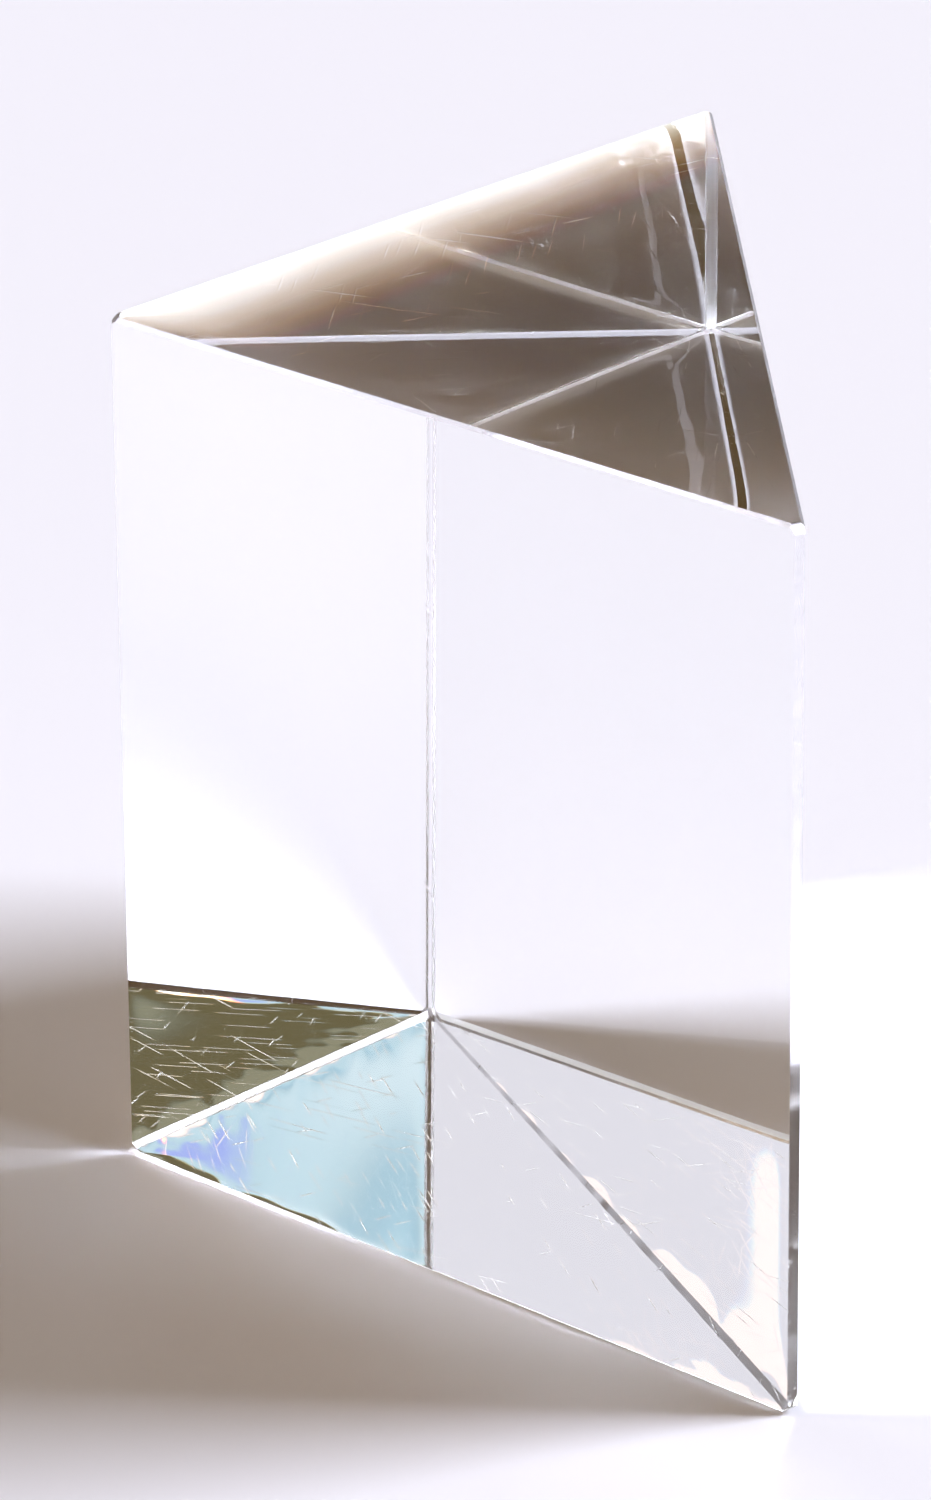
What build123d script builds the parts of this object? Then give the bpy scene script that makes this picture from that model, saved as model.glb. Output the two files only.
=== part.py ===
# Right angle prism: one block of clear crown glass with a 45-90-45 degree section.
#
# It stands on one of its two triangular ends. Lengths are millimetres and +Z is up. The origin is the middle
# of the base of the box round the glass. The two legs of the section face -Y and -X, and the long face
# between their far ends, the hypotenuse, faces +X and +Y.
from build123d import *
from math import cos, radians, sin
import os

# Driving dimensions. The leg length is measured between the sharp corners that the faces would meet at.
leg_length = 25.0
prism_height = 25.0

# Protective bevels, ground by hand so that no sharp edge is left to chip, each edge in its own few strokes.
# A value for an upright edge is the width of the flat itself. An end's bevels are cut back by the same distance
# on both of the faces they join.
right_angle_bevel_width = 0.30
front_acute_bevel_width = 0.30
back_acute_bevel_width = 0.14
base_bevel_setback = 0.20
top_bevel_setback = 0.10

# How much further in than the end bevels each of the six corners is rubbed down
corner_flat_depth = 0.08

# Angles of the section in degrees
right_angle = 90.0
acute_angle = 45.0


# How far a bevel starts from the sharp corner, measured along either face. The flat stands square to the
# line that halves the corner, so half of its width lies opposite half of the corner's angle.
def bevel_start(bevel_width, corner_angle):
    return bevel_width / 2 / sin(radians(corner_angle / 2))


# A direction in the section, by its angle in degrees from +X towards +Y
def heading(angle):
    return Vector(cos(radians(angle)), sin(radians(angle)), 0)


# The middle of an upright flat, in from the sharp corner along the line that halves it
def flat_middle(sharp_corner, facing, bevel_width, corner_angle):
    depth = bevel_start(bevel_width, corner_angle) * cos(radians(corner_angle / 2))
    return Vector(*sharp_corner) - heading(facing) * depth


# The plane that an end bevel or a corner flat is ground to. It leans half way between the end and the
# upright surface that passes through foot and faces along facing. end_side is 1 at the top and -1 at the base.
def end_cut(foot, facing, end_height, end_side, setback, extra_depth):
    end_normal = Vector(0, 0, end_side)
    slope = (heading(facing) + end_normal).normalized()
    start = Vector(foot.X, foot.Y, end_height) - end_normal * setback
    return Plane(start - slope * extra_depth, z_dir=slope)


right_angle_start = bevel_start(right_angle_bevel_width, right_angle)
front_acute_start = bevel_start(front_acute_bevel_width, acute_angle)
back_acute_start = bevel_start(back_acute_bevel_width, acute_angle)

# The bevelled section is a little shorter than its legs, and is set so that its own box is centred
reach_x = leg_length - front_acute_start * cos(radians(acute_angle))
reach_y = leg_length - back_acute_start * cos(radians(acute_angle))
near_x = -reach_x / 2
near_y = -reach_y / 2

right_angle_corner = (near_x, near_y)
front_leg_corner = (near_x + leg_length, near_y)
side_leg_corner = (near_x, near_y + leg_length)

# Each polished upright face: a corner that it passes through, and the way it faces in degrees
upright_faces = [
    (right_angle_corner, -90.0),
    (right_angle_corner, 180.0),
    (front_leg_corner, right_angle - acute_angle),
]

# Each upright edge: its sharp corner, the way its flat faces, the flat's width and the corner's angle
upright_edges = [
    (right_angle_corner, 180 + right_angle / 2, right_angle_bevel_width, right_angle),
    (front_leg_corner, -acute_angle / 2, front_acute_bevel_width, acute_angle),
    (side_leg_corner, right_angle + acute_angle / 2, back_acute_bevel_width, acute_angle),
]

# The height of each end, the side that it faces and the setback of its bevels
ends = [(0.0, -1, base_bevel_setback), (prism_height, 1, top_bevel_setback)]

os.makedirs("parts", exist_ok=True)


# The glass: the bevelled section is drawn up to its height, and then each end is bevelled along its three
# edges and has its three corners rubbed down.
with BuildPart() as glass_prism:
    with BuildSketch(Plane.XY) as section:
        with BuildLine():
            Polyline(right_angle_corner, front_leg_corner, side_leg_corner, close=True)
        make_face()
        chamfer(section.vertices().sort_by(Axis((0, 0, 0), (1, 1, 0)))[0], length=right_angle_start)
        chamfer(section.vertices().sort_by(Axis.X)[-1], length=front_acute_start)
        chamfer(section.vertices().sort_by(Axis.Y)[-1], length=back_acute_start)
    extrude(amount=prism_height)
    for end_height, end_side, setback in ends:
        for corner, facing in upright_faces:
            end_bevel = end_cut(Vector(*corner), facing, end_height, end_side, setback, 0)
            split(bisect_by=end_bevel, keep=Keep.BOTTOM)
        for corner, facing, width, angle in upright_edges:
            foot = flat_middle(corner, facing, width, angle)
            corner_flat = end_cut(foot, facing, end_height, end_side, setback, corner_flat_depth)
            split(bisect_by=corner_flat, keep=Keep.BOTTOM)

glass_prism.part.label = "glass_prism"
export_step(glass_prism.part, "parts/glass_prism.step")

print("faces:", len(glass_prism.faces()))
print("volume in cubic millimetres:", round(glass_prism.part.volume, 3))
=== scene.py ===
import math

import bpy
import numpy as np
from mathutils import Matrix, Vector


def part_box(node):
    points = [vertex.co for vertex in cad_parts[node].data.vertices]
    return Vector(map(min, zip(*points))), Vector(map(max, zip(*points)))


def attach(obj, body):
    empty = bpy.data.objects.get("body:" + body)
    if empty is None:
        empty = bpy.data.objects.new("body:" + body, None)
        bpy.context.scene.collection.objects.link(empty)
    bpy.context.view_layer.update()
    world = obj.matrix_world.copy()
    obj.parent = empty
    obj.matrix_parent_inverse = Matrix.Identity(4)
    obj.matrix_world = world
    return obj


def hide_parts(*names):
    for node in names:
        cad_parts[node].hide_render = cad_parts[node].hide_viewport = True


# Right angle prism of clear crown glass, standing on one triangular end on a pale table.
# Lengths are metres, +Z is up, and the two leg faces look towards -Y and -X.

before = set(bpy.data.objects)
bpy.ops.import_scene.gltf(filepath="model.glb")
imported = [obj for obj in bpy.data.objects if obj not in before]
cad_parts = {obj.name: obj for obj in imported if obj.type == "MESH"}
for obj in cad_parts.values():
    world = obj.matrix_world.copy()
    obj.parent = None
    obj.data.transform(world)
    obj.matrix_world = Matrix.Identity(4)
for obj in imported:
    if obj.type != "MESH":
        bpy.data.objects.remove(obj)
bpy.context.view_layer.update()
boxLow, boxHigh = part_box("glass_prism")
mm = 0.001


# A node's output that Python's operators turn into Math nodes
class Sock:
    def __init__(self, kit, out):
        self.kit = kit
        self.out = out

    def __add__(self, other):
        return self.kit.maths("ADD", self, other)

    def __radd__(self, other):
        return self.kit.maths("ADD", other, self)

    def __sub__(self, other):
        return self.kit.maths("SUBTRACT", self, other)

    def __rsub__(self, other):
        return self.kit.maths("SUBTRACT", other, self)

    def __mul__(self, other):
        return self.kit.maths("MULTIPLY", self, other)

    def __rmul__(self, other):
        return self.kit.maths("MULTIPLY", other, self)


# The node tree that is being built, and the few ways of adding to it
class ShaderKit:
    def __init__(self, tree):
        self.tree = tree
        tree.nodes.clear()

    def node(self, kind, settings=None, sockets=None):
        made = self.tree.nodes.new(kind)
        for key, value in (settings or {}).items():
            setattr(made, key, value)
        for key, value in (sockets or {}).items():
            if isinstance(value, Sock):
                self.tree.links.new(value.out, made.inputs[key])
            else:
                made.inputs[key].default_value = value
        return made

    def sock(self, made, name=0):
        return Sock(self, made.outputs[name])

    def maths(self, operation, *values):
        return self.sock(self.node("ShaderNodeMath", {"operation": operation}, dict(enumerate(values))))

    def vector(self, operation, *values):
        made = self.node("ShaderNodeVectorMath", {"operation": operation}, dict(enumerate(values)))
        return self.sock(made)

    # 0 at low, 1 at high and a smooth step between them; low may be the larger of the two
    def ramp(self, value, low, high):
        settings = {"interpolation_type": "SMOOTHSTEP"}
        sockets = {"Value": value, "From Min": low, "From Max": high}
        return self.sock(self.node("ShaderNodeMapRange", settings, sockets))

    def blend(self, mask, first, second):
        mixed = self.node("ShaderNodeMix", {"data_type": "RGBA"}, {0: mask, 6: first, 7: second})
        return self.sock(mixed, 2)


glassBlock = {
    "rightAngleBevel": 0.30 * mm,  # width of the flat on the square edge
    "frontBevel": 0.30 * mm,  # width of the flat on the sharp edge at the front right
    "backBevel": 0.14 * mm,  # width of the flat on the sharp edge at the back left
    "baseSetback": 0.12 * mm,  # how far the three corners are cut back at the base
    "frontSetback": 0.072 * mm,  # how far the bevel of the front leg face is cut back at the base
    "slantFront": 0.20 * mm,  # the same for the hypotenuse, at its front end
    "slantBack": 0.08 * mm,  # and at its back end
    "sideSetback": 0.144 * mm,  # and the same for the side leg face
    "topSetback": 0.10 * mm,  # how far the bevels round the top are cut back
    "cornerFlat": 0.08 * mm,  # how much deeper the six corners are rubbed down
    "baseLean": 0.16,  # degrees that the base is out of square, raised towards -X
    "wallRoll": 0.0030 * mm,  # how far an upright face falls away at its upright edges
    "baseRoll": 0.0050 * mm,  # how far a face falls away at the edges of the base, on average
    "rollWaves": ((0.9 * mm, 0.35), (0.37 * mm, 0.2)),  # how that varies: scales along the edge, and shares
    "topRoll": 0.0022 * mm,  # and at the edges of the top
    "rollReach": 0.45 * mm,  # how quickly that dies away
    "waver": 0.004 * mm,  # how much a bevel's width wanders along its edge
    "waverWaves": 6,  # how many sine waves make that up
    "waverReach": (0.8 * mm, 7 * mm),  # the shortest and longest of them
    "topWander": 0.7,  # share of the wander that the top's bevels have
    "backWander": 0.6,  # and the upright one at the back
    "chips": 3,  # small bites along each edge
    "chipSize": 0.02 * mm,
    "chipShares": (0.2, 1.0),  # the shallowest and deepest, as shares of that
    "chipWidths": (0.10 * mm, 0.30 * mm),
    "sharpAngle": 20,  # degrees past which an edge of the mesh is shaded as a sharp one
    "seed": 11,
}

glassFinish = {
    "tint": (0.985, 0.99, 0.99, 1),
    "index": 1.517,  # ordinary crown glass
    "grind": 0.10,  # roughness of the ground bevels
    "backGrind": 0.30,  # roughness of the upright one at the back
    "frontGrind": 0.45,  # and of those round the base: the front leg face's,
    "slantGrind": 0.12,  # the hypotenuse's
    "sideGrind": 0.45,  # and the side leg face's
    "groundTint": (0.93, 0.92, 0.95, 1),
    "grainScale": 26000.0,  # fineness of the ground surface's grain
    "grainDepth": 0.0006 * mm,
    "polishedAngle": 10,  # degrees from a polished plane within which a face of the mesh is polished
    "polishDepth": 0.000022 * mm,  # height of the fine lines that polishing left in the base
    "polishTurn": 135,  # degrees in the base's map that they run along
    "polishLength": 4.0 * mm,
    "polishSpacing": 0.09 * mm,
    "scratchDepth": 0.0006 * mm,
    "scratchRoughness": 0.35,
    "scratchCore": 0.3,  # share of a scratch's width that is full depth
    "scratchFade": (0.48, 0.10),  # where along its cell it begins and is full
    "patchScale": 330.0,  # fineness of the patches that the scratches come in
    "patchRange": (0.36, 0.62),  # where in the patches' noise they begin and are full
    "faceWear": 0.12,  # share of the base's scratches that the other four faces have
}

blockHeight = boxHigh.z - boxLow.z
slantCos = math.cos(math.radians(45))
halfAcute = math.radians(22.5)
halfRight = math.radians(45)
near = np.array([boxLow.x, boxLow.y])
legLength = boxHigh.x - boxLow.x + glassBlock["frontBevel"] / 2 / math.sin(halfAcute) * slantCos
inradius = legLength * (1 - slantCos)
middle = near + inradius


# The grid's steps for each stretch: the first one, the factor they grow by and the largest. The rows
# of an end stop short of its middle, and a few more cross each bevel.
glassGridSteps = {
    "face": (0.03 * mm, 1.35, 0.19 * mm),
    "bevel": (0.03 * mm, 1.3, 0.05 * mm),
    "wall": (0.03 * mm, 1.45, 0.24 * mm),
    "cap": (0.03 * mm, 1.5, 2.2 * mm),
}
capReach = 0.97
insetLimit = 0.985
slopeRows = 4


# Distances along a line: steps that grow by a factor from a fine first one to a coarse one,
# mirrored about the middle
def edgeDistances(length, fine, growth, coarse):
    steps = [fine]
    while sum(steps) < length / 2:
        steps.append(min(steps[-1] * growth, coarse))
    half = np.cumsum(steps) * (length / 2) / sum(steps)
    return np.concatenate([[0.0], half, length - half[-2::-1], [length]])


# How much wider a bevel is at each distance along its edge: the sum of a few slow sine waves,
# plus a narrow bell, exp(-((distance - place) / width)^2) * depth, for each chip
def bevelWander(distance, length, seed):
    dice = np.random.default_rng(glassBlock["seed"] + seed)
    count, chips = glassBlock["waverWaves"], glassBlock["chips"]
    waves = dice.uniform(*glassBlock["waverReach"], count)
    shifts = dice.uniform(0, 2 * np.pi, count)
    wander = np.sin(2 * np.pi * distance[..., None] / waves + shifts).sum(-1) * glassBlock["waver"] / 3
    places = dice.uniform(0, length, chips)
    widths = dice.uniform(*glassBlock["chipWidths"], chips)
    depths = dice.uniform(*glassBlock["chipShares"], chips) * glassBlock["chipSize"]
    bites = np.exp(-((distance[..., None] - places) / widths) ** 2) * depths
    return wander + bites.sum(-1)


# The columns of the grid go once round the section. Even segments are the polished faces -Y, the
# hypotenuse and -X, and odd ones are the upright bevels between them. Each column has its segment
# and its fraction along it.
def gridColumns():
    bevels = [glassBlock[key] for key in ("frontBevel", "backBevel", "rightAngleBevel")]
    faces = [legLength, legLength / slantCos, legLength]
    lengths = [length for pair in zip(faces, bevels) for length in pair]
    segment, fraction = [], []
    for k, length in enumerate(lengths):
        spacing = glassGridSteps["face"] if k % 2 == 0 else glassGridSteps["bevel"]
        along = edgeDistances(length, *spacing)
        fraction.append(along[:-1] / length)
        segment.append(np.full(len(along) - 1, k))
    return np.concatenate(segment), np.concatenate(fraction)


# The rows go from near the middle of the base, out to its bevel, up the wall, over the upper bevel
# and in to near the middle of the top. Each row has its part of the block and its distance or
# fraction within that part.
def gridRows():
    cap = edgeDistances(2 * inradius, *glassGridSteps["cap"])
    cap = cap[cap < inradius * capReach]
    slope = np.linspace(0, 1, slopeRows + 2)[1:-1]
    wall = edgeDistances(blockHeight, *glassGridSteps["wall"]) / blockHeight
    values = [cap[::-1], slope, wall, slope, cap]
    part = np.concatenate([np.full(len(v), k) for k, v in enumerate(values)])
    return part, np.concatenate(values)


# Every point of the grid: the bevelled section at the row's height, drawn in about its incentre on
# the two ends. Polished faces fall away towards their edges, by depth * exp(-distance / reach).
def glassGrid():
    segment, fraction = gridColumns()
    part, value = gridRows()
    rows, columns = len(part), len(segment)
    travel = (segment + fraction) * legLength
    # the base's setback at the start of each segment, and once more at the end
    keys = ("frontSetback", "frontSetback", "slantFront", "slantBack")
    keys += ("sideSetback", "sideSetback", "frontSetback")
    low = np.interp(segment + fraction, range(7), [glassBlock[key] for key in keys])
    low = low + bevelWander(travel, 6 * legLength, 1)
    high = glassBlock["topSetback"] + bevelWander(travel, 6 * legLength, 2) * glassBlock["topWander"]
    wall = part == 2
    # heights and insets of each row and column, the bevel rows left for later
    height = np.zeros((rows, columns))
    height[part >= 3] = blockHeight
    height[wall] = low + value[wall][:, None] * (blockHeight - low - high)
    inset = np.zeros((rows, columns))
    lowCap, highCap = part == 0, part == 4
    inset[lowCap] = low + value[lowCap][:, None]
    inset[highCap] = high + value[highCap][:, None]
    inset = np.minimum(inset, inradius * insetLimit)
    # the six corners of the section, whose bevels wander in width with height
    square = glassBlock["rightAngleBevel"] / 2 / math.sin(halfRight) + bevelWander(height, blockHeight, 3)
    front = glassBlock["frontBevel"] / 2 / math.sin(halfAcute) + bevelWander(height, blockHeight, 4)
    backWander = bevelWander(height, blockHeight, 5) * glassBlock["backWander"]
    back = glassBlock["backBevel"] / 2 / math.sin(halfAcute) + backWander
    zero = 0 * square
    across = [square, legLength - front, legLength - front * slantCos, back * slantCos, zero, zero]
    along = [zero, zero, front * slantCos, legLength - back * slantCos, legLength - back, square]
    corners = np.stack([np.stack(across), np.stack(along)], -1)
    column = np.arange(columns)
    start = corners[segment, :, column].transpose(1, 0, 2)
    end = corners[(segment + 1) % 6, :, column].transpose(1, 0, 2)
    ring = near + start * (1 - fraction)[:, None] + end * fraction[:, None]
    flat = middle + (1 - inset / inradius)[:, :, None] * (ring - middle)
    grid = np.concatenate([flat, height[:, :, None]], 2)
    # how far each wall point is from the edges of its face, and the way that face looks
    length = np.linalg.norm(end - start, axis=2)
    faceOf = np.where(fraction == 0, segment - segment % 2, segment)
    polished = faceOf % 2 == 0
    upright = [[0, -1, 0], [0, 0, 0], [slantCos, slantCos, 0], [0, 0, 0], [-1, 0, 0], [0, 0, 0]]
    looks = np.array(upright)[faceOf]
    keys = ("wallRoll", "baseRoll", "topRoll", "rollReach")
    wallRoll, baseRoll, topRoll, reach = (glassBlock[key] for key in keys)
    varied = sum(share * np.sin(travel / scale) for scale, share in glassBlock["rollWaves"])
    baseRoll = baseRoll * (1 + varied)
    before = np.where(segment % 2 == 0, fraction * length, 0)
    after = np.where(segment % 2 == 0, (1 - fraction) * length, 0)
    sides = np.exp(-before / reach) + np.where(segment % 2 == 0, np.exp(-after / reach), 0)
    below = height - low
    above = blockHeight - high - height
    ends = baseRoll * np.exp(-np.maximum(below, 0) / reach)
    ends = ends + topRoll * np.exp(-np.maximum(above, 0) / reach)
    fall = (wallRoll * sides + ends) * polished * wall[:, None]
    grid -= fall[:, :, None] * looks
    lowFall = baseRoll * np.exp(-np.maximum(inset - low, 0) / reach)
    highFall = topRoll * np.exp(-np.maximum(inset - high, 0) / reach)
    grid[:, :, 2] += np.where(lowCap[:, None], lowFall, 0) - np.where(highCap[:, None], highFall, 0)
    # bevels are straight between the edges of the faces that they join
    rowIndex = np.arange(rows)
    lowRows = rowIndex[lowCap][-1], rowIndex[wall][0]
    highRows = rowIndex[wall][-1], rowIndex[highCap][0]
    for k, (first, last) in ((1, lowRows), (3, highRows)):
        share = value[part == k][:, None, None]
        grid[part == k] = grid[first] * (1 - share) + grid[last] * share
    for k in (1, 3, 5):
        first = np.flatnonzero(segment == k)
        last = (first[-1] + 1) % columns
        share = fraction[first][:, None]
        grid[:, first] = grid[:, first[:1]] * (1 - share) + grid[:, last:last + 1] * share
    return grid


# Rubs the six corners down: a point beyond a corner's plane moves straight back onto it
def rubCorners(points):
    widths = [glassBlock["rightAngleBevel"], glassBlock["frontBevel"], glassBlock["backBevel"]]
    halves = [halfRight, halfAcute, halfAcute]
    sharp = [near, near + [legLength, 0], near + [0, legLength]]
    for width, half, corner, facing in zip(widths, halves, sharp, (225.0, -22.5, 112.5)):
        outward = np.array([math.cos(math.radians(facing)), math.sin(math.radians(facing)), 0])
        foot = np.array([*corner, 0]) - outward * width / 2 / math.tan(half)
        ends = ((-1, 0, glassBlock["baseSetback"]), (1, blockHeight, glassBlock["topSetback"]))
        for side, level, setback in ends:
            slope = (outward + [0, 0, side]) / math.sqrt(2)
            start = foot + [0, 0, level - side * setback] - slope * glassBlock["cornerFlat"]
            beyond = np.maximum((points - start) @ slope, 0)
            points = points - beyond[:, None] * slope
    return points


# The closed mesh of the block: the grid's squares, and a fan of triangles to the middle of each end
def makeGlass():
    grid = glassGrid()
    rows, around = grid.shape[:2]
    poles = np.array([[*middle, 0], [*middle, blockHeight]])
    points = rubCorners(np.concatenate([grid.reshape(-1, 3), poles]))
    # the base leans: it is highest at the side leg, and the lift fades to nothing at the top
    lean = math.tan(math.radians(glassBlock["baseLean"]))
    points[:, 2] += (boxHigh.x - points[:, 0]) * lean * (1 - points[:, 2] / blockHeight)
    points = np.clip(points, boxLow, boxHigh)  # keeps the wander inside the CAD box
    index = np.arange(rows * around).reshape(rows, around)
    nextIndex = np.roll(index, -1, 1)
    quads = np.stack([index[:-1], nextIndex[:-1], nextIndex[1:], index[1:]], 2).reshape(-1, 4)
    lowFan = np.stack([np.full(around, rows * around), nextIndex[0], index[0]], 1)
    highFan = np.stack([np.full(around, rows * around + 1), index[-1], nextIndex[-1]], 1)
    loops = np.concatenate([quads.ravel(), lowFan.ravel(), highFan.ravel()]).astype(np.int32)
    sizes = np.concatenate([np.full(len(quads), 4), np.full(2 * around, 3)])
    starts = np.concatenate([[0], np.cumsum(sizes)[:-1]]).astype(np.int32)
    mesh = bpy.data.meshes.new("prismGlass")
    mesh.vertices.add(len(points))
    mesh.vertices.foreach_set("co", points.astype(np.float32).ravel())
    mesh.loops.add(len(loops))
    mesh.loops.foreach_set("vertex_index", loops)
    mesh.polygons.add(len(sizes))
    mesh.polygons.foreach_set("loop_start", starts)
    mesh.update(calc_edges=True)
    mesh.polygons.foreach_set("use_smooth", np.ones(len(mesh.polygons), bool))
    mesh.set_sharp_from_angle(angle=math.radians(glassBlock["sharpAngle"]))
    markFaces(mesh, points, loops, sizes)
    piece = bpy.data.objects.new("prismGlass", mesh)
    bpy.context.scene.collection.objects.link(piece)
    return piece


# Gives each face its own flat map in metres, laid apart from the others, and marks what is ground
# and how worn it is. A face is polished where its normal is within a few degrees of one of the five
# polished planes, or else it is ground.
def markFaces(mesh, points, loops, sizes):
    normals = np.zeros(len(sizes) * 3, np.float32)
    mesh.polygons.foreach_get("normal", normals)
    planes = np.array([[0, -1, 0], [slantCos, slantCos, 0], [-1, 0, 0], [0, 0, -1], [0, 0, 1]])
    likeness = normals.reshape(-1, 3) @ planes.T
    nearest = likeness.argmax(1)
    ground = (likeness.max(1) < math.cos(math.radians(glassFinish["polishedAngle"]))).astype(np.float32)
    mesh.attributes.new("ground", "FLOAT", "FACE").data.foreach_set("value", ground)
    # the bevels at the base are ground more or less coarsely than the rest, each in its own way
    facesDown, alike = -0.3, 0.98  # limits of a normal's height and of its likeness to the back bevel's
    baseIndex, mapGap = 3, 0.1  # the base's place among the planes, and metres between the maps
    under = normals.reshape(-1, 3)[:, 2] < facesDown
    upon = likeness[:, :3].argmax(1)
    keys = ("frontGrind", "slantGrind", "sideGrind")
    coarse = np.array([glassFinish[key] for key in keys])[upon]
    backward = [-math.sin(halfAcute), math.cos(halfAcute), 0]
    atBack = normals.reshape(-1, 3) @ backward > alike
    upright = np.where(atBack, glassFinish["backGrind"], glassFinish["grind"])
    grind = (np.where(under, coarse, upright) * ground).astype(np.float32)
    mesh.attributes.new("grind", "FLOAT", "FACE").data.foreach_set("value", grind)
    wear = np.where(nearest == baseIndex, 1.0, glassFinish["faceWear"]).astype(np.float32)
    mesh.attributes.new("wear", "FLOAT", "FACE").data.foreach_set("value", wear)
    first = np.array([[1, 0, 0], [-slantCos, slantCos, 0], [0, -1, 0], [1, 0, 0], [1, 0, 0]])
    second = np.array([[0, 0, 1], [0, 0, 1], [0, 0, 1], [0, 1, 0], [0, 1, 0]])
    loopFace = np.repeat(nearest, sizes)
    corner = points[loops]
    across = (corner * first[loopFace]).sum(1) + loopFace * mapGap
    along = (corner * second[loopFace]).sum(1)
    flatMap = mesh.uv_layers.new(name="faceMap")
    flatMap.data.foreach_set("uv", np.stack([across, along], 1).astype(np.float32).ravel())


# Each family of scratches: degrees from the map's first axis, the cells' length and spacing, the
# line's width, the share of cells that hold one, and how far a line may tilt
scratchFamilies = [
    {
        "turn": 128, "length": 2.6 * mm, "spacing": 0.42 * mm,
        "width": 0.03 * mm, "share": 0.6, "bend": 0.030,
    },
    {
        "turn": 20, "length": 3.4 * mm, "spacing": 0.75 * mm,
        "width": 0.035 * mm, "share": 0.30, "bend": 0.050,
    },
    {
        "turn": 78, "length": 1.5 * mm, "spacing": 0.60 * mm,
        "width": 0.03 * mm, "share": 0.25, "bend": 0.090,
    },
]


# The face is cut into long cells. Some hold one straight line through their middle, which fades
# towards its ends: line = thin ramp of the distance from the tilted middle line * fade along it *
# whether the cell is one of the share.
def scratchLines(kit, place, family):
    settings = {"vector_type": "TEXTURE"}
    turned = kit.sock(kit.node("ShaderNodeMapping", settings, {
        "Vector": place,
        "Rotation": (0, 0, math.radians(family["turn"])),
        "Scale": (family["length"], family["spacing"], 1),
    }))
    cells = kit.node("ShaderNodeTexVoronoi", {"voronoi_dimensions": "2D"}, {"Vector": turned, "Scale": 1.0})
    local = kit.vector("SUBTRACT", turned, kit.sock(cells, "Position"))
    split = kit.node("ShaderNodeSeparateXYZ", {}, {0: local})
    along, across = kit.sock(split, 0), kit.sock(split, 1)
    chance = kit.node("ShaderNodeSeparateColor", {}, {0: kit.sock(cells, "Color")})
    bend = (kit.sock(chance, 0) - 0.5) * (2 * family["bend"] * family["length"] / family["spacing"])
    offLine = kit.maths("ABSOLUTE", across + bend * along)
    thickness = family["width"] / family["spacing"]
    line = kit.ramp(offLine, thickness, thickness * glassFinish["scratchCore"])
    fade = kit.ramp(kit.maths("ABSOLUTE", along), *glassFinish["scratchFade"])
    fullShare = family["share"] * 0.4
    used = kit.ramp(kit.sock(chance, 1), family["share"], fullShare)
    return line * fade * used


# Clear glass whose roughness is scratches * scratchRoughness + each bevel's own grind, and whose bump
# adds the polishing lines, the scratches and the ground surface's grain
def glassMaterial():
    material = bpy.data.materials.new("crownGlass")
    material.use_nodes = True
    kit = ShaderKit(material.node_tree)
    coords = kit.node("ShaderNodeTexCoord")
    place = kit.sock(coords, "UV")
    solid = kit.sock(coords, "Object")
    ground = kit.sock(kit.node("ShaderNodeAttribute", {"attribute_name": "ground"}), "Fac")
    grind = kit.sock(kit.node("ShaderNodeAttribute", {"attribute_name": "grind"}), "Fac")
    wear = kit.sock(kit.node("ShaderNodeAttribute", {"attribute_name": "wear"}), "Fac")
    scratches = 0.0
    for family in scratchFamilies:
        lines = scratchLines(kit, place, family)
        scratches = kit.maths("MAXIMUM", scratches, lines)
    # scratches come in patches, and more of them where the wear is
    patches = kit.node("ShaderNodeTexNoise", {"noise_dimensions": "3D"}, {
        "Vector": solid, "Scale": glassFinish["patchScale"], "Detail": 2.0,
    })
    patchy = kit.ramp(kit.sock(patches, 0), *glassFinish["patchRange"])
    scratches = scratches * patchy * wear
    # fine lines of polishing, drawn out along the hypotenuse
    combed = kit.sock(kit.node("ShaderNodeMapping", {"vector_type": "TEXTURE"}, {
        "Vector": place,
        "Rotation": (0, 0, math.radians(glassFinish["polishTurn"])),
        "Scale": (glassFinish["polishLength"], glassFinish["polishSpacing"], 1),
    }))
    comb = kit.node("ShaderNodeTexNoise", {"noise_dimensions": "2D"}, {
        "Vector": combed, "Scale": 1.0, "Detail": 3.0,
    })
    polishing = kit.sock(comb, 0) * wear
    grain = kit.node("ShaderNodeTexNoise", {"noise_dimensions": "3D"}, {
        "Vector": solid, "Scale": glassFinish["grainScale"], "Detail": 3.0,
    })
    # bump heights in metres, one Bump node after another
    polished = kit.sock(kit.node("ShaderNodeBump", {}, {
        "Strength": 1.0, "Distance": glassFinish["polishDepth"], "Height": polishing,
    }))
    scratched = kit.sock(kit.node("ShaderNodeBump", {"invert": True}, {
        "Strength": 1.0, "Distance": glassFinish["scratchDepth"],
        "Height": scratches, "Normal": polished,
    }))
    grained = kit.sock(kit.node("ShaderNodeBump", {}, {
        "Strength": 1.0, "Distance": glassFinish["grainDepth"],
        "Height": kit.sock(grain, 0) * ground, "Normal": scratched,
    }))
    roughness = scratches * glassFinish["scratchRoughness"] + grind
    shader = kit.node("ShaderNodeBsdfPrincipled", {}, {
        "Base Color": kit.blend(ground, glassFinish["tint"], glassFinish["groundTint"]),
        "Roughness": kit.maths("MINIMUM", roughness, 1.0),
        "IOR": glassFinish["index"],
        "Transmission Weight": 1.0,
        "Normal": grained,
    })
    kit.node("ShaderNodeOutputMaterial", {}, {"Surface": kit.sock(shader)})
    return material


prismGlass = makeGlass()
prismGlass.data.materials.append(glassMaterial())
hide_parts("glass_prism")
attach(prismGlass, "root")
print("glass block:", sum(len(face.vertices) - 2 for face in prismGlass.data.polygons), "triangles")

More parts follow.
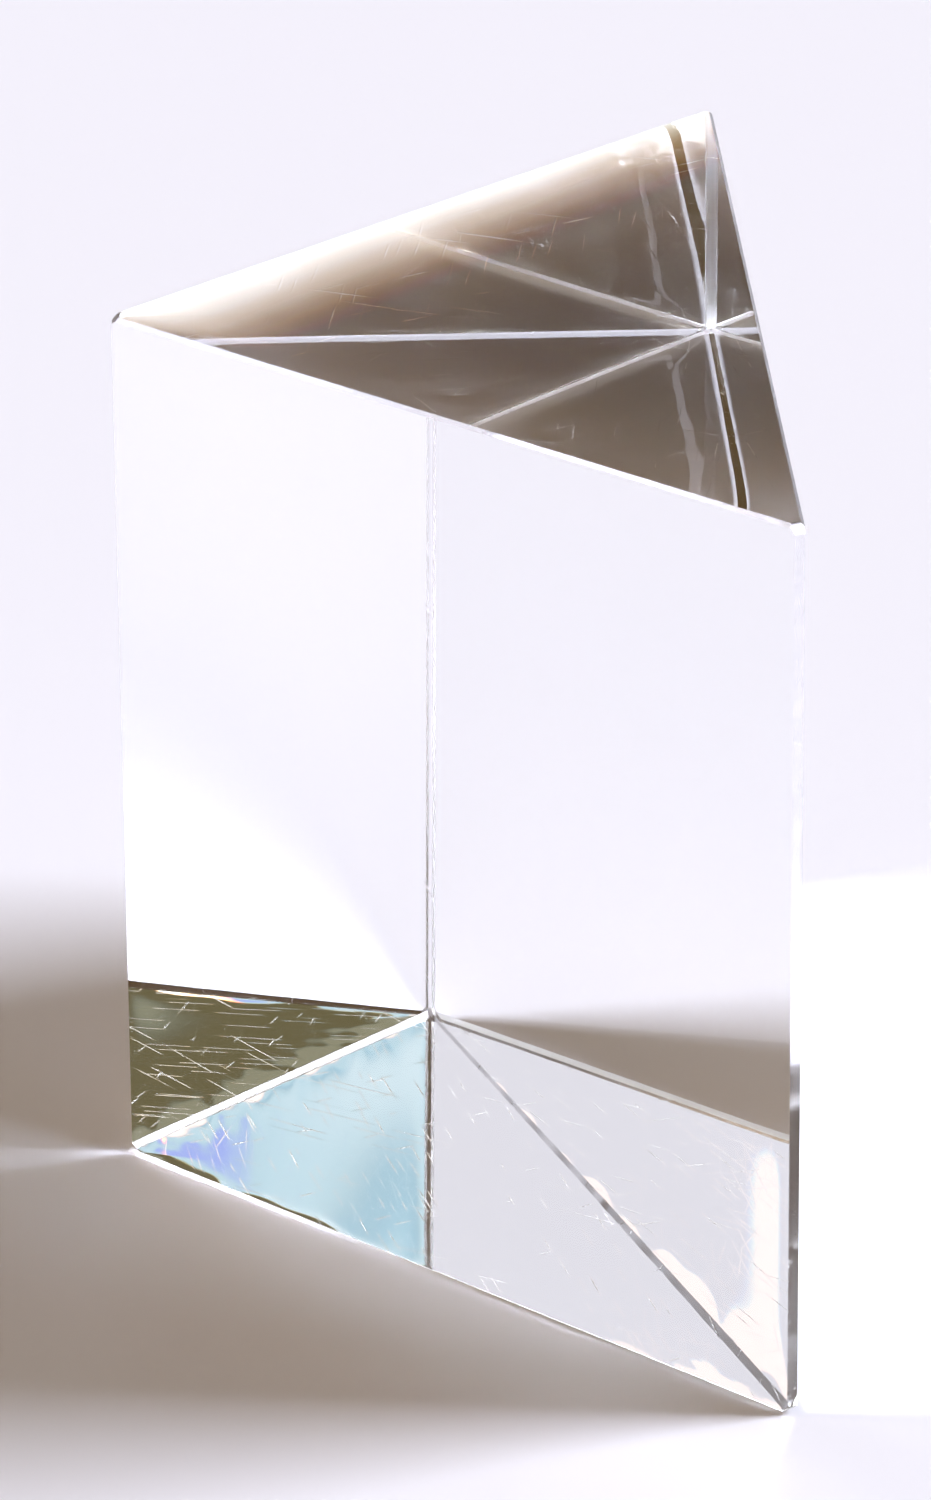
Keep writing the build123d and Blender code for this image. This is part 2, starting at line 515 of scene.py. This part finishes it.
table = {
    "size": 6.0,
    "below": 0.02 * mm,  # the film of air under the glass
    "paint": (0.84, 0.83, 0.87, 1),
    "roughness": 0.8,
    "points": 9,  # along each side
}


# A flat square sheet, just under the glass so that a film of air stays between them
def makeTable():
    count = table["points"]
    side = np.linspace(-table["size"] / 2, table["size"] / 2, count)
    x, y = np.meshgrid(side, side)
    points = np.stack([x, y, np.full_like(x, -table["below"])], 2).reshape(-1, 3)
    index = np.arange(count * count).reshape(count, count)
    faces = np.stack([index[:-1, :-1], index[:-1, 1:], index[1:, 1:], index[1:, :-1]], 2).reshape(-1, 4)
    mesh = bpy.data.meshes.new("tableTop")
    mesh.from_pydata(points.tolist(), [], faces.tolist())
    sheet = bpy.data.objects.new("tableTop", mesh)
    bpy.context.scene.collection.objects.link(sheet)
    material = bpy.data.materials.new("paleTable")
    material.use_nodes = True
    kit = ShaderKit(material.node_tree)
    finish = {"Base Color": table["paint"], "Roughness": table["roughness"]}
    shader = kit.node("ShaderNodeBsdfPrincipled", {}, finish)
    kit.node("ShaderNodeOutputMaterial", {}, {"Surface": kit.sock(shader)})
    mesh.materials.append(material)


# Each panel is a soft-edged patch of the studio's surround. Its middle is an azimuth from +Y towards
# +X and a height, and its half sizes, tilt, soft edge and spread are degrees too. The spread shifts
# the panel one way for red and the other way for blue, in the place of the glass's dispersion.
# The panels were placed for the photograph's view, so most are small: key, fill, low and
# backdrop are the plain lights, and the others are what the glass reflects from that side.
panels = {
    "key": {
        "middle": (39.5, 39.5), "half": (12, 9), "tilt": 0, "soft": 4,
        "glow": (27, 28.4, 32.6), "spread": 0,
    },
    "window": {
        "middle": (9.5, 25.2), "half": (8, 2.6), "tilt": 0, "soft": 0.35,
        "glow": (0.57, 0.78, 0.88), "spread": 0.08,
    },
    "foldLight": {
        "middle": (12.75, 25.3), "half": (0.08, 2.4), "tilt": 0, "soft": 0.3,
        "glow": (0.61, 0.82, 0.92), "spread": 0.03,
    },
    "foldDark": {
        "middle": (12.1, 25.3), "half": (0.06, 2.4), "tilt": 0, "soft": 0.3,
        "glow": (0.44, 0.66, 0.78), "spread": 0.03,
    },
    "ledge": {
        "middle": (8.6, 24.4), "half": (3.9, 0.2), "tilt": 0, "soft": 0.9,
        "glow": (0.76, 0.92, 1.0), "spread": 0,
    },
    "shade": {
        "middle": (13.45, 25.3), "half": (0.1, 0.1), "tilt": 0, "soft": 0.28,
        "glow": (0.42, 0.52, 1.0), "spread": 0,
    },
    "blind": {
        "middle": (10, 30.3), "half": (8, 3.6), "tilt": 0, "soft": 0.4,
        "glow": (1.25, 1.15, 1.12), "spread": 0.08,
    },
    "lamp": {
        "middle": (20.95, 26.6), "half": (7.0, 1.8), "tilt": 0, "soft": 0.25,
        "glow": (3.4, 3.3, 3.2), "spread": 0.08,
    },
    "wall": {
        "middle": (14.27, 21.98), "half": (9, 2.7), "tilt": 19.4, "soft": 0.2,
        "glow": (0.285, 0.275, 0.185), "spread": 0.05,
    },
    "rail": {
        "middle": (13.52, 24.13), "half": (9, 0.4), "tilt": 19.4, "soft": 0.25,
        "glow": (0.14, 0.12, 0.055), "spread": 0.03,
    },
    "backdrop": {
        "middle": (-46, 26.5), "half": (11, 4.5), "tilt": 0, "soft": 0.3,
        "glow": (0.83, 0.82, 0.9), "spread": 0.08,
    },
    "card": {
        "middle": (-50.03, 26.5), "half": (0.9, 4.0), "tilt": 0.2, "soft": 0.06,
        "glow": (1.25, 1.07, 1.05), "spread": 0.02,
    },
    "glare": {
        "middle": (-44.92, 11.97), "half": (8, 6.0), "tilt": -21, "soft": 0.9,
        "glow": (4.0, 4.2, 4.25), "spread": -0.05,
    },
    "fill": {
        "middle": (-137, 50), "half": (14, 12), "tilt": 0, "soft": 6,
        "glow": (1.9, 1.4, 0.9), "spread": 0,
    },
    "low": {
        "middle": (-136, 9), "half": (20, 3), "tilt": 0, "soft": 2,
        "glow": (25, 23.6, 21.8), "spread": 0,
    },
}
ambientGlow = (0.075, 0.043, 0.012)  # the dim warm room between the panels


# A panel's mask is a smooth step over its soft edge, of the distance from its middle along both of
# its sides, and the colour of the surround is moved towards the panel's glow by that mask
def makeStudio():
    world = bpy.data.worlds.new("studio")
    bpy.context.scene.world = world
    world.use_nodes = True
    kit = ShaderKit(world.node_tree)
    towards = kit.node("ShaderNodeTexCoord")
    split = kit.node("ShaderNodeSeparateXYZ", {}, {0: kit.sock(towards, "Generated")})
    x, y, z = (kit.sock(split, k) for k in range(3))
    azimuth = kit.maths("ARCTAN2", x, y) * math.degrees(1)
    height = kit.maths("ARCSINE", z) * math.degrees(1)
    colour = ambientGlow
    for panel in panels.values():
        turn = math.radians(panel["tilt"])
        right = azimuth - panel["middle"][0]
        up = height - panel["middle"][1]
        sides = []
        for across, rise, half in (
            (math.cos(turn), math.sin(turn), panel["half"][0]),
            (-math.sin(turn), math.cos(turn), panel["half"][1]),
        ):
            shift = (across + rise) * panel["spread"]
            offset = kit.vector("ADD", right * across + up * rise, (shift, 0, -shift))
            distance = kit.vector("ABSOLUTE", offset)
            settings = {"data_type": "FLOAT_VECTOR", "interpolation_type": "SMOOTHSTEP"}
            limits = {"Vector": distance, 7: (half + panel["soft"],) * 3, 8: (half,) * 3}
            sides.append(kit.sock(kit.node("ShaderNodeMapRange", settings, limits), 1))
        mask = kit.vector("MULTIPLY", *sides)
        change = kit.vector("SUBTRACT", panel["glow"], colour)
        colour = kit.vector("MULTIPLY_ADD", change, mask, colour)
    background = kit.node("ShaderNodeBackground", {}, {"Color": colour})
    kit.node("ShaderNodeOutputWorld", {}, {"Surface": kit.sock(background)})
    world.cycles.sampling_method = "MANUAL"
    world.cycles.sample_map_resolution = 2048


shot = {
    "fromCorner": (144.450 * mm, -140.912 * mm, 94.107 * mm),  # camera from the glass's sharp square corner
    "turn": (67.880, 0.430, 42.786),
    "lens": 188.19,
    "sensor": 36.0,
    "nearest": 0.01,  # metres in front of the camera where the view begins
}


# The camera that was fitted to the photograph, at its place and with its turns in degrees
def makeCamera():
    lens = bpy.data.cameras.new("photoView")
    lens.sensor_fit = "VERTICAL"
    lens.sensor_height = shot["sensor"]
    lens.lens = shot["lens"]
    lens.clip_start = shot["nearest"]
    camera = bpy.data.objects.new("photoView", lens)
    bpy.context.scene.collection.objects.link(camera)
    camera.location = Vector((boxLow.x, boxLow.y, 0)) + Vector(shot["fromCorner"])
    camera.rotation_euler = [math.radians(angle) for angle in shot["turn"]]
    bpy.context.scene.camera = camera


makeTable()
makeStudio()
makeCamera()
scene = bpy.context.scene
scene.view_settings.view_transform = "Standard"
# light reaches the table through many faces, so nothing is cut off or blurred on the way
scene.cycles.max_bounces = 32
scene.cycles.glossy_bounces = 24
scene.cycles.transmission_bounces = 24
scene.cycles.diffuse_bounces = 3
scene.cycles.sample_clamp_indirect = 0
scene.cycles.blur_glossy = 0
print("studio ready")
